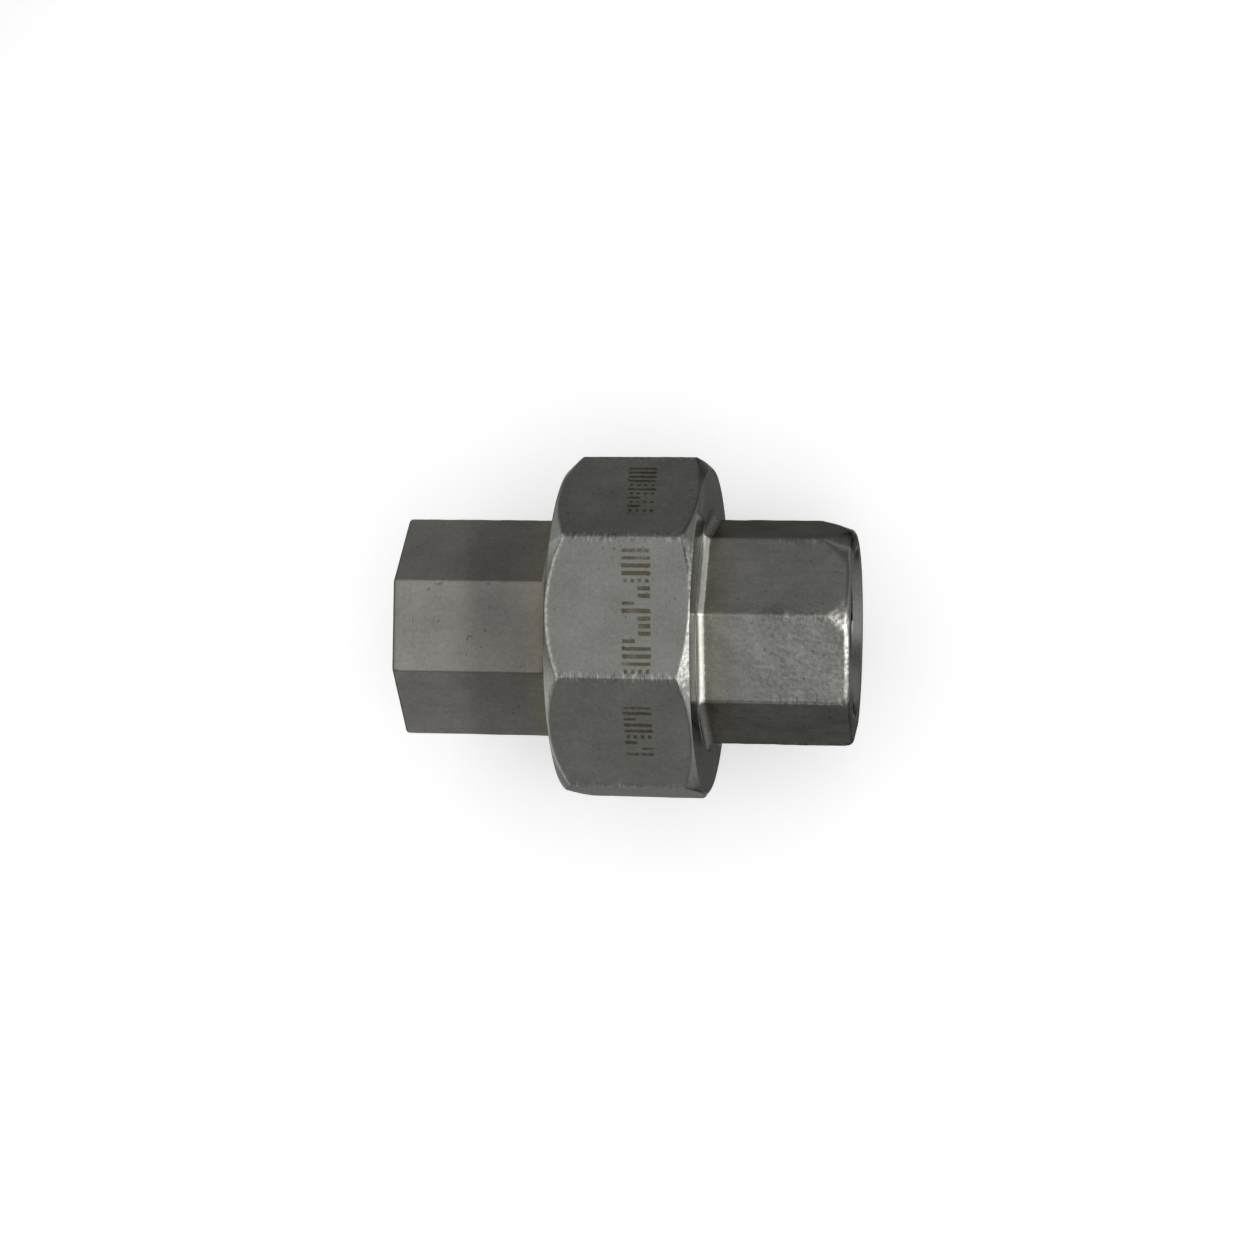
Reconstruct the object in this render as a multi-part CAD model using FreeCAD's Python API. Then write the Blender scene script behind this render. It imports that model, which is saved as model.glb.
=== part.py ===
import FreeCAD, Part
import math
import os

# Pipe union with a metal-to-metal cone seat, both ends with a female pipe thread.
# Millimetres. The pipe axis runs along X, +Z is up, and the union lies on a flat of its nut.
# X is 0 at half length and Z is 0 at the flat that it lies on.

# Pipe thread of the two end sockets, drawn as a plain bore at the crest of the thread
pipe_thread_crest_radius = 7.475
pipe_thread_major_radius = 8.331
passage_radius = 6.5
socket_depth = 11.5
mouth_margin = 0.35
bore_mouth_angle = 45.0

# Threaded body: octagon head at the left, male connecting thread inside the nut, cone seat
body_head_flats = 22.0
body_head_length = 16.45
connecting_thread_depth = 0.81
thread_lead_in = 0.8
thread_relief_depth = 1.1
thread_relief_length = 2.0
body_shoulder_reach = 0.8

# Union nut: octagon, thread bore open to the left, lip at the right
nut_length = 14.4
nut_wall = 3.115
nut_lip_length = 3.0
nut_groove_length = 1.7
nut_groove_depth = 0.35
nut_mouth_widening = 0.35
nut_left_face_inset = 0.25
nut_left_chamfer_angle = 45.0
nut_right_face_inset = 0.2
nut_right_chamfer_angle = 35.0

# Tail piece: octagon head at the right, neck through the nut's lip, collar and male cone
tail_head_flats = 21.5
tail_head_length = 14.95
tail_shoulder_reach = 0.18
collar_length = 2.5
collar_bearing = 0.45
nose_length = 4.2
nose_step = 1.3
cone_half_angle = 30.0
end_taper_angle = 20.0
end_rim_over_flats = 0.33
end_rim_run = 0.5
end_rim_drop = 0.73

# The octagons stop where the cone and the threads tighten, so each head stands at its own
# angle to the flats of the nut, in degrees from +Z towards +Y
body_turn = -6.95
tail_turn = 23.1

# Edges that casting and tumbling left round
head_edge_round = 0.35
nut_edge_round = 0.4
root_round = 0.5
tail_end_round = 0.5
body_end_break = 0.2
turned_edge_break = 0.3

# Clearances between the pieces
head_pass_clearance = 0.7
neck_running_clearance = 0.12
collar_pass_clearance = 0.09
thread_running_clearance = 0.05
collar_face_gap = 0.05
cone_gap = 0.08
face_standoff = 0.6
nose_tip_gap = 0.7

# How far cutting shapes reach past what they cut, and how near an edge lies to count as in a plane
cut_margin = 1.0
plane_tolerance = 0.001

# Radii that follow from the sizes above, from the tail head outwards
octagon_half_angle = math.pi / 8
tail_head_apothem = tail_head_flats / 2
tail_corner_radius = tail_head_apothem / math.cos(octagon_half_angle)
nut_hole_radius = tail_corner_radius + head_pass_clearance
neck_radius = nut_hole_radius - neck_running_clearance
collar_radius = nut_hole_radius + collar_bearing
nut_thread_crest_radius = collar_radius + collar_pass_clearance
connecting_thread_radius = nut_thread_crest_radius + connecting_thread_depth
nut_bore_radius = connecting_thread_radius + thread_running_clearance
nut_apothem = connecting_thread_radius + nut_wall
body_head_apothem = body_head_flats / 2
relief_radius = connecting_thread_radius - thread_relief_depth
cone_slope = math.tan(math.radians(cone_half_angle))

# Places along X
overall_length = body_head_length + nut_length + tail_head_length
left_end_x = -overall_length / 2
nut_left_x = left_end_x + body_head_length
nut_right_x = nut_left_x + nut_length
right_end_x = nut_right_x + tail_head_length
body_shoulder_x = nut_left_x - body_shoulder_reach
tail_shoulder_x = nut_right_x + tail_shoulder_reach
lip_inner_x = nut_right_x - nut_lip_length
collar_back_x = lip_inner_x - collar_face_gap
collar_front_x = collar_back_x - collar_length
nose_tip_x = collar_front_x - nose_length
body_face_x = collar_front_x - face_standoff
axis_z = nut_apothem
far_out = 2 * nut_apothem


def point(x, radius):
    return FreeCAD.Vector(x, 0, axis_z + radius)


def turned(profile):
    # profile is a list of (x, radius) corners, closed back to its first corner
    corners = [point(x, radius) for x, radius in profile]
    corners.append(corners[0])
    face = Part.Face(Part.makePolygon(corners))
    return face.revolve(point(0, 0), FreeCAD.Vector(1, 0, 0), 360)


def octagon_bar(start_x, end_x, apothem, turn, edge_round):
    # Octagon bar along X with its long edges rounded. At turn 0 a flat faces straight up.
    corner_radius = apothem / math.cos(octagon_half_angle)
    corners = []
    for index in range(9):
        angle = math.radians(turn) + (2 * index + 1) * octagon_half_angle
        y = corner_radius * math.sin(angle)
        z = axis_z + corner_radius * math.cos(angle)
        corners.append(FreeCAD.Vector(start_x, y, z))
    corners[8] = corners[0]
    outline = Part.Face(Part.makePolygon(corners))
    bar = outline.extrude(FreeCAD.Vector(end_x - start_x, 0, 0))
    long_edges = []
    for edge in bar.Edges:
        if edge.BoundBox.XLength > 0.9 * abs(end_x - start_x):
            long_edges.append(edge)
    return bar.makeFillet(edge_round, long_edges)


def edges_in_plane(shape, plane_x, reach):
    # Every edge that lies in the plane at plane_x, no farther than reach from the axis
    edges = []
    for edge in shape.Edges:
        box = edge.BoundBox
        in_plane = abs(box.XMin - plane_x) < plane_tolerance and abs(box.XMax - plane_x) < plane_tolerance
        if in_plane and box.ZMax - axis_z < reach:
            edges.append(edge)
    return edges


def root_flare(root_x, apothem, turn, round_neck_radius, direction):
    # Concave fillet between the flats of a head and the shoulder of its round neck, trimmed to
    # the neck. direction is 1 where the head lies to the right of root_x and -1 to the left.
    plate = turned([
        (root_x - direction * cut_margin, 0),
        (root_x - direction * cut_margin, far_out),
        (root_x, far_out),
        (root_x, 0),
    ])
    end_x = root_x + 3 * direction * root_round
    blank = plate.fuse(octagon_bar(root_x, end_x, apothem, turn, head_edge_round))
    blank = blank.makeFillet(root_round, edges_in_plane(blank, root_x, far_out - cut_margin))
    trim = turned([
        (root_x, passage_radius),
        (root_x, round_neck_radius),
        (end_x, round_neck_radius),
        (end_x, passage_radius),
    ])
    return blank.common(trim)


def pipe_socket(end_x, inward):
    # Cutter for one end socket: a mouth wider than the thread, the bore and its drilled bottom.
    # inward is the sign of X that points from the mouth into the piece.
    mouth_radius = pipe_thread_major_radius + mouth_margin
    mouth_run = (mouth_radius - pipe_thread_crest_radius) / math.tan(math.radians(bore_mouth_angle))
    bottom_run = pipe_thread_crest_radius - passage_radius
    profile = [(end_x - inward * cut_margin, 0)]
    profile.append((end_x - inward * cut_margin, mouth_radius))
    profile.append((end_x, mouth_radius))
    profile.append((end_x + inward * mouth_run, pipe_thread_crest_radius))
    profile.append((end_x + inward * socket_depth, pipe_thread_crest_radius))
    profile.append((end_x + inward * (socket_depth + bottom_run), passage_radius))
    profile.append((end_x + inward * (socket_depth + bottom_run), 0))
    return turned(profile)


def passage(start_x, end_x):
    return turned([(start_x, 0), (start_x, passage_radius), (end_x, passage_radius), (end_x, 0)])


def make_threaded_body():
    head = octagon_bar(left_end_x, body_shoulder_x, body_head_apothem, body_turn, head_edge_round)
    head = head.makeChamfer(body_end_break, edges_in_plane(head, left_end_x, far_out))
    relief_end_x = body_shoulder_x + thread_relief_length
    spigot = turned([
        (body_shoulder_x, passage_radius),
        (body_shoulder_x, relief_radius),
        (relief_end_x, relief_radius),
        (relief_end_x + thread_relief_depth, connecting_thread_radius),
        (body_face_x - thread_lead_in, connecting_thread_radius),
        (body_face_x, connecting_thread_radius - thread_lead_in),
        (body_face_x, passage_radius),
    ])
    flare = root_flare(body_shoulder_x, body_head_apothem, body_turn, relief_radius, -1)
    solid = head.fuse([spigot, flare])
    solid = solid.cut(passage(left_end_x, body_face_x))
    solid = solid.cut(pipe_socket(left_end_x, 1))
    # Female cone: the male cone line, set off by the seat gap, down to just past the nose tip
    seat_offset = cone_gap / math.cos(math.radians(cone_half_angle))
    seat_root_radius = collar_radius - nose_step + seat_offset
    seat_end_x = nose_tip_x - nose_tip_gap
    seat_face_radius = seat_root_radius - (collar_front_x - body_face_x) * cone_slope
    seat_end_radius = seat_root_radius - (collar_front_x - seat_end_x) * cone_slope
    seat = turned([
        (seat_end_x, 0),
        (seat_end_x, seat_end_radius),
        (body_face_x, seat_face_radius),
        (body_face_x + cut_margin, seat_face_radius + cut_margin * cone_slope),
        (body_face_x + cut_margin, 0),
    ])
    return solid.cut(seat).removeSplitter()


def make_union_nut():
    bar = octagon_bar(nut_left_x, nut_right_x, nut_apothem, 0, nut_edge_round)
    blank_radius = nut_apothem / math.cos(octagon_half_angle) + cut_margin
    left_face_radius = nut_apothem - nut_left_face_inset
    right_face_radius = nut_apothem - nut_right_face_inset
    left_slope = math.tan(math.radians(nut_left_chamfer_angle))
    right_slope = math.tan(math.radians(nut_right_chamfer_angle))
    envelope = turned([
        (nut_left_x, 0),
        (nut_left_x, left_face_radius),
        (nut_left_x + (blank_radius - left_face_radius) * left_slope, blank_radius),
        (nut_right_x - (blank_radius - right_face_radius) * right_slope, blank_radius),
        (nut_right_x, right_face_radius),
        (nut_right_x, 0),
    ])
    groove_radius = nut_bore_radius + nut_groove_depth
    mouth_radius = nut_bore_radius + nut_mouth_widening
    cavity = turned([
        (nut_left_x - cut_margin, 0),
        (nut_left_x - cut_margin, mouth_radius),
        (nut_left_x, mouth_radius),
        (nut_left_x + nut_mouth_widening, nut_bore_radius),
        (lip_inner_x - nut_groove_length - nut_groove_depth, nut_bore_radius),
        (lip_inner_x - nut_groove_length, groove_radius),
        (lip_inner_x, groove_radius),
        (lip_inner_x, nut_hole_radius),
        (nut_right_x + cut_margin, nut_hole_radius),
        (nut_right_x + cut_margin, 0),
    ])
    return bar.common(envelope).cut(cavity)


def make_tail_piece():
    head = octagon_bar(tail_shoulder_x, right_end_x, tail_head_apothem, tail_turn, head_edge_round)
    head = head.makeFillet(tail_end_round, edges_in_plane(head, right_end_x, far_out))
    rim_radius = tail_head_apothem + end_rim_over_flats
    rim_x = right_end_x - end_rim_run
    blank_radius = tail_corner_radius + cut_margin
    taper_run = (blank_radius - rim_radius) / math.tan(math.radians(end_taper_angle))
    head = head.common(turned([
        (tail_shoulder_x, 0),
        (tail_shoulder_x, blank_radius),
        (rim_x - taper_run, blank_radius),
        (rim_x, rim_radius),
        (right_end_x, rim_radius - end_rim_drop),
        (right_end_x, 0),
    ]))
    nose_root_radius = collar_radius - nose_step
    nose_tip_radius = nose_root_radius - nose_length * cone_slope
    turned_end = turned([
        (nose_tip_x, passage_radius),
        (nose_tip_x, nose_tip_radius),
        (collar_front_x, nose_root_radius),
        (collar_front_x, collar_radius - turned_edge_break),
        (collar_front_x + turned_edge_break, collar_radius),
        (collar_back_x - turned_edge_break, collar_radius),
        (collar_back_x, collar_radius - turned_edge_break),
        (collar_back_x, neck_radius),
        (tail_shoulder_x, neck_radius),
        (tail_shoulder_x, passage_radius),
    ])
    flare = root_flare(tail_shoulder_x, tail_head_apothem, tail_turn, neck_radius, 1)
    solid = head.fuse([turned_end, flare])
    solid = solid.cut(passage(nose_tip_x, right_end_x))
    return solid.cut(pipe_socket(right_end_x, -1)).removeSplitter()


os.makedirs("parts", exist_ok=True)
pieces = {
    "threaded_body": make_threaded_body(),
    "union_nut": make_union_nut(),
    "tail_piece": make_tail_piece(),
}
for name, shape in pieces.items():
    solids = shape.Solids
    print(name, "solids", len(solids), "valid", shape.isValid(), "volume", round(shape.Volume, 1))
    shape.exportStep(os.path.join("parts", name + ".step"))
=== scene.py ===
import math
import bpy
import numpy as np
from mathutils import Matrix, Vector


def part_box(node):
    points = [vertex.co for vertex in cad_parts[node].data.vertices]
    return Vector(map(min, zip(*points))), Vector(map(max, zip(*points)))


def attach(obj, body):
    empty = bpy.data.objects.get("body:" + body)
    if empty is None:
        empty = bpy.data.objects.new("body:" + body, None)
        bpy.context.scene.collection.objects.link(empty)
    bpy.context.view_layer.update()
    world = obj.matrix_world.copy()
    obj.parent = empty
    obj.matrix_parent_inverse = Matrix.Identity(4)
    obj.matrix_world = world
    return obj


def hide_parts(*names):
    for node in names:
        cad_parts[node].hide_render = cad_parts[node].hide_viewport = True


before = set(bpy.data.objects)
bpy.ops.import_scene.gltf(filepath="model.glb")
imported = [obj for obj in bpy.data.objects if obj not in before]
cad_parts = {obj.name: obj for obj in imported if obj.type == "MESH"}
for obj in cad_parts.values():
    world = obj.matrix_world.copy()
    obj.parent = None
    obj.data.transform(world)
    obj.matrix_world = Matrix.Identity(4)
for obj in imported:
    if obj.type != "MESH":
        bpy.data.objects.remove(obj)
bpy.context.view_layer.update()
print("frame loaded")

millimetre = 0.001
eighthTurn = math.pi / 4
halfEighth = math.pi / 8
onPlane = 0.01  # a point within this many millimetres of a plane counts as on it
collarBearing = 0.45  # how far the collar reaches past the lip's hole

# Places and sizes that the frame gives, in millimetres
nutLow, nutHigh = (np.array(corner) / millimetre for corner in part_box("union_nut"))
tailLow, tailHigh = (np.array(corner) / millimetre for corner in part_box("tail_piece"))
bodyLow, bodyHigh = (np.array(corner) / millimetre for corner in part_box("threaded_body"))
axisHeight = (nutLow[2] + nutHigh[2]) / 2
nutApothem = (nutHigh[2] - nutLow[2]) / 2
connectingRadius = (bodyHigh[2] - bodyLow[2]) / 2
collarRadius = (tailHigh[2] - tailLow[2]) / 2
lipHoleRadius = collarRadius - collarBearing

pipeThread = {
    "crest": 7.475,  # radius of the thread's crests in the socket
    "depth": 0.856,
    "pitch": 1.337,
    "mouth": 8.68,  # radius of the countersunk mouth
    "socketDepth": 11.5,
    "drillRun": 0.98,  # length of the cone that the drill left at its bottom
    "passage": 6.5,
    "runOut": 1.2,  # the last stretch, where the thread fades
}

connectingThread = {
    "depth": 0.81,
    "pitch": 1.5,
    "clearance": 0.05,
}

# Unevenness of the cast skin, in millimetres. A span is its shortest and its longest wave.
castSkin = {
    "wearSpan": (0.45, 2.2),
    "wearShare": 0.5,  # how much the rounding of the long edges varies
    "dipSpan": (1.6, 6),
    "dip": 0.02,
    "chipSpan": (0.35, 1.3),
    "chip": 0.16,  # how much wider the edge of a turned face is where it is chipped
    "blend": 0.16,  # width over which the skin goes over into a turned face
}

meshing = {
    "threadRows": 100,
    "roundRows": 8,  # over a quarter round
    "gap": 0.05,  # millimetres that keep two stretches' rows apart
    "sharpAngle": math.radians(38),
}


def threadHeight(x, theta, pitch):
    # Height from 0 at the root to 1 at the crest. It is a rounded triangle wave of x / pitch +
    # theta / turn, so the crest climbs one pitch a turn as a right-hand thread.
    steepness = 1.2
    phase = np.mod(x / pitch + theta / (2 * math.pi), 1)
    triangle = 1 - 4 * np.abs(phase - 0.5)
    return 0.5 + 0.5 * np.sin(0.5 * math.pi * np.clip(steepness * triangle, -1, 1))


def unevenness(points, seed, shortest, longest):
    # Sum of sine waves of (wave number . point + phase) in random directions, held to -1 .. 1
    waveCount = 30
    fullHeight = 7.5
    rng = np.random.default_rng(seed)
    direction = rng.normal(size=(waveCount, 3))
    direction /= np.linalg.norm(direction, axis=1)[:, None]
    length = shortest * (longest / shortest) ** rng.random(waveCount)
    phase = rng.random(waveCount) * 2 * math.pi
    total = np.zeros(points.shape[:-1])
    for number, start in zip(direction * (2 * math.pi / length)[:, None], phase):
        total += np.sin(points @ number + start)
    return np.clip(total / fullHeight, -1, 1)


def between(ends, share):
    # The first end where share is 0, the second where it is 1, and a straight line between
    first, last = ends
    return first + (last - first) * share


def fadeIn(value, start, run):
    # 0 up to start, 1 from start + run on, and a straight line between
    return np.clip((value - start) / run, 0, 1)


def hump(value, centre, width, power=2):
    # exp(-((value - centre) / width) ** power): 1 at the centre and 0 far from it
    return np.exp(-((value - centre) / width) ** power)


def smoothMin(a, b, width):
    # The lesser of a and b, with a round of the given width where they meet
    share = np.clip(0.5 + 0.5 * (b - a) / width, 0, 1)
    return between((b, a), share) - width * share * (1 - share)


def angleGrid(turn, cornerHalf, cornerSteps, flatSteps):
    # Angles once round, from +Z towards +Y, close together at the eight corners
    corner = np.linspace(-cornerHalf, cornerHalf, cornerSteps, endpoint=False)
    flat = np.linspace(cornerHalf, eighthTurn - cornerHalf, flatSteps, endpoint=False)
    sector = np.concatenate([corner, flat])
    start = turn + halfEighth + eighthTurn * np.arange(8)
    return (start[:, None] + sector[None, :]).reshape(1, -1)


def angleFromFlat(theta, turn):
    # Angle from the middle of the nearest flat
    return np.mod(theta - turn + halfEighth, eighthTurn) - halfEighth


def angleFromTop(theta, turn=0.0):
    # Angle from the side that faces up, or from the flat that was turned away from it
    return np.remainder(theta - turn + math.pi, 2 * math.pi) - math.pi


def octagonRadius(theta, turn, apothem, rounding):
    # Distance from the axis to an octagon with rounded corners: apothem / cos(angle from the
    # flat's middle), or the rounding arc near a corner
    fromFlat = np.abs(angleFromFlat(theta, turn))
    fromCorner = halfEighth - fromFlat
    centre = (apothem - rounding) / math.cos(halfEighth)
    side = centre * np.sin(fromCorner)
    roundPart = centre * np.cos(fromCorner) + np.sqrt(np.maximum(rounding ** 2 - side ** 2, 0))
    onRound = apothem * np.tan(fromFlat) > (apothem - rounding) * math.tan(halfEighth)
    return np.where(onRound, roundPart, apothem / np.cos(fromFlat))


def pointsAround(x, theta, radius):
    # Points (x, radius sin theta, radius cos theta) of a cylinder, for unevenness
    return np.stack(np.broadcast_arrays(x, radius * np.sin(theta), radius * np.cos(theta)), 2)


def castOutline(x, theta, apothem, settings):
    # Outline of a cast octagon: its corner rounding is worn unevenly along the edges, and the
    # flats lie up to two dips inside the true octagon
    around = pointsAround(x, theta, settings["apothem"])
    wear = unevenness(around, settings["seed"], *castSkin["wearSpan"])
    rounding = settings["edgeRound"] * (1 + castSkin["wearShare"] * wear)
    dips = unevenness(around, settings["seed"] + 1, *castSkin["dipSpan"])
    return octagonRadius(theta, settings["turn"], apothem, rounding) - castSkin["dip"] * (1 + dips)


def turnedCut(x, theta, outline, turned, rounding, settings):
    # A cast outline that a turned face cuts: the lesser radius of both, with an unevenly
    # chipped edge, and the machined share, which is 1 where the turned face is the lesser
    around = pointsAround(x, theta, settings["apothem"])
    chips = np.clip(unevenness(around, settings["seed"] + 2, *castSkin["chipSpan"]), 0, 1)
    radius = smoothMin(turned, outline, rounding + castSkin["chip"] * chips)
    return radius, np.clip(0.5 + (outline - turned) / castSkin["blend"], 0, 1)


def traced(*stops):
    # Points on straight lines from stop to stop. A stop is x, radius and the steps to the next
    # one, and the last stop is left out.
    lines = []
    for start, end in zip(stops, stops[1:]):
        share = np.arange(start[2])[:, None] / start[2]
        lines.append(between((np.array(start[:2]), np.array(end[:2])), share))
    return np.concatenate(lines)


def arc(centre, radius, fromAngle, toAngle, steps):
    # Points on a circle arc in the (x, radius) plane, angles in degrees from +X towards outwards
    angle = np.radians(fromAngle + (toAngle - fromAngle) * np.arange(steps) / steps)
    return np.stack([centre[0] + radius * np.cos(angle), centre[1] + radius * np.sin(angle)], 1)


def fullBand(x, radius, machined):
    # A stretch of rows: x, radius and machined share at every point
    return np.broadcast_arrays(x, radius, machined)


def turnedBand(profile, theta):
    # A turned stretch: the same x and radius all round, and machined all over
    shape = (len(profile), theta.shape[1])
    return fullBand(np.broadcast_to(profile[:, :1], shape), profile[:, 1:], 1.0)


def ringBand(x, fromRadius, toRadius, steps, machined, first=1):
    # A flat ring from one radius to the other, without its last edge and, unless first is 0,
    # its first
    share = np.arange(first, steps)[:, None] / steps
    return fullBand(x, between((fromRadius, toRadius), share), machined)


def socketBand(endX, inward, theta):
    # An end socket from its mouth to its bottom: the greater of the mouth's cone and the
    # threaded bore
    bottom = pipeThread["socketDepth"]
    depth = np.linspace(0, bottom, meshing["threadRows"])[:, None]
    x = endX + inward * depth
    fade = np.clip((bottom - depth) / pipeThread["runOut"], 0, 1)
    height = threadHeight(x, theta, pipeThread["pitch"]) * fade
    bore = pipeThread["crest"] + pipeThread["depth"] * height
    return fullBand(x, np.maximum(bore, pipeThread["mouth"] - depth), 1.0)


def reversedBand(band):
    # The same rows in the opposite order
    return tuple(part[::-1] for part in band)


def closedShell(name, bands, theta, marks):
    # Bands of rows carried once round the pipe axis: (x, radius sin theta, axis + radius cos
    # theta). Rows follow the profile and close on themselves, and columns go round.
    x, radius, machined = (np.concatenate([band[part] for band in bands]) for part in range(3))
    rows, columns = radius.shape
    angle = np.broadcast_to(theta, radius.shape)
    points = np.stack([x, radius * np.sin(angle), axisHeight + radius * np.cos(angle)], 2)
    index = np.arange(rows * columns).reshape(rows, columns)
    nextRow = np.roll(index, -1, 0)
    nextColumn = np.roll(index, -1, 1)
    corner = np.roll(nextRow, -1, 1)
    faces = np.stack([index, nextRow, corner, nextColumn], 2).reshape(-1, 4)
    mesh = bpy.data.meshes.new(name)
    mesh.vertices.add(rows * columns)
    mesh.vertices.foreach_set("co", (points * millimetre).astype(np.float32).ravel())
    mesh.loops.add(faces.size)
    mesh.loops.foreach_set("vertex_index", faces.astype(np.int32).ravel())
    mesh.polygons.add(len(faces))
    mesh.polygons.foreach_set("loop_start", np.arange(0, faces.size, 4, dtype=np.int32))
    mesh.update(calc_edges=True)
    mesh.validate()
    # Fields that the steel reads at each point. One that a piece lacks reads as 0.
    fields = {"machined": machined}
    fields.update(marks(x, radius, angle, machined))
    for fieldName, value in fields.items():
        layer = mesh.attributes.new(fieldName, "FLOAT", "POINT")
        everywhere = np.broadcast_to(value, radius.shape).astype(np.float32)
        layer.data.foreach_set("value", everywhere.ravel())
    mesh.polygons.foreach_set("use_smooth", np.ones(len(faces), dtype=bool))
    mesh.set_sharp_from_angle(angle=meshing["sharpAngle"])
    piece = bpy.data.objects.new(name, mesh)
    bpy.context.scene.collection.objects.link(piece)
    return piece


def cornerDistance(radius, angle, settings):
    # Distance along the flat from its nearer long edge
    fromFlat = np.abs(angleFromFlat(angle, settings["turn"]))
    return np.abs(settings["apothem"] * math.tan(halfEighth) - radius * np.sin(fromFlat))


def stainAt(distance, settings):
    # Strength less the distance from the stain's middle / its reach, held to 0 .. 1
    middle, reach, strength = settings["stain"]
    return np.clip(strength - np.abs(distance - middle) / reach, 0, 1)


bodySettings = {
    "turn": math.radians(-6.95),
    "grid": (math.radians(3.2), 14, 18),  # half a corner's stretch, its steps, a flat's steps
    "headRows": 74,
    "apothem": 11.0,
    "edgeRound": 0.35,
    "endRound": 0.45,
    "rootRound": 0.5,
    "shoulderReach": 0.8,  # from the nut to the body's shoulder
    "reliefDepth": 1.1,
    "reliefLength": 2.0,
    "leadIn": 0.8,
    "seatRadius": 11.18,
    "seatLength": 4.3,
    "coneSlope": math.tan(math.radians(30)),
    "seed": 3,
    # Steel: colour, what a stain does to it, and how strong the faint lines are
    "tint": (0.200, 0.192, 0.176),
    "stainTint": (1.13, 1.08, 0.94),
    "lineStrength": 0.12,
    "sheen": 0.24,  # how much the steel reflects near grazing angles
    "sheenVaries": False,
    "speckle": 0.08,  # how much stronger the grit is, beyond the steel's own
    "nicks": 0.1,  # strength of the nicks on the long edges
    "skinRadius": 10.0,  # the head's skin lies outside of this
    "stain": (0.9, 1.3, 1.2),  # middle and reach in mm from the root, strength
    "paleLength": 7.4,  # the head is paler up to here from its free end
    "paleTone": (1.03, 1.13, 5.0),  # tone at that place and, this many mm further out, the most
    "paleWaver": (1.1, 0.4),  # softness of that place in mm, and its waves
    "darkening": (0.22, 0.15, 0.346),  # beyond it: all round, and on top within these radians
    "leftEndShade": (0.7, 0.3),  # painted shade on the end face and the round, up to this many mm
    "endMachined": 0.7,
    # painted shade: the lower flat is darker
    "lowerFlatShade": 0.86,
    # painted highlight on the upper flat's root fillet
    "upperRootHighlight": 1.6,
    # paler root fillet, partly a painted highlight
    "rootPolishAndHighlight": 0.58,
}


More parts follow.
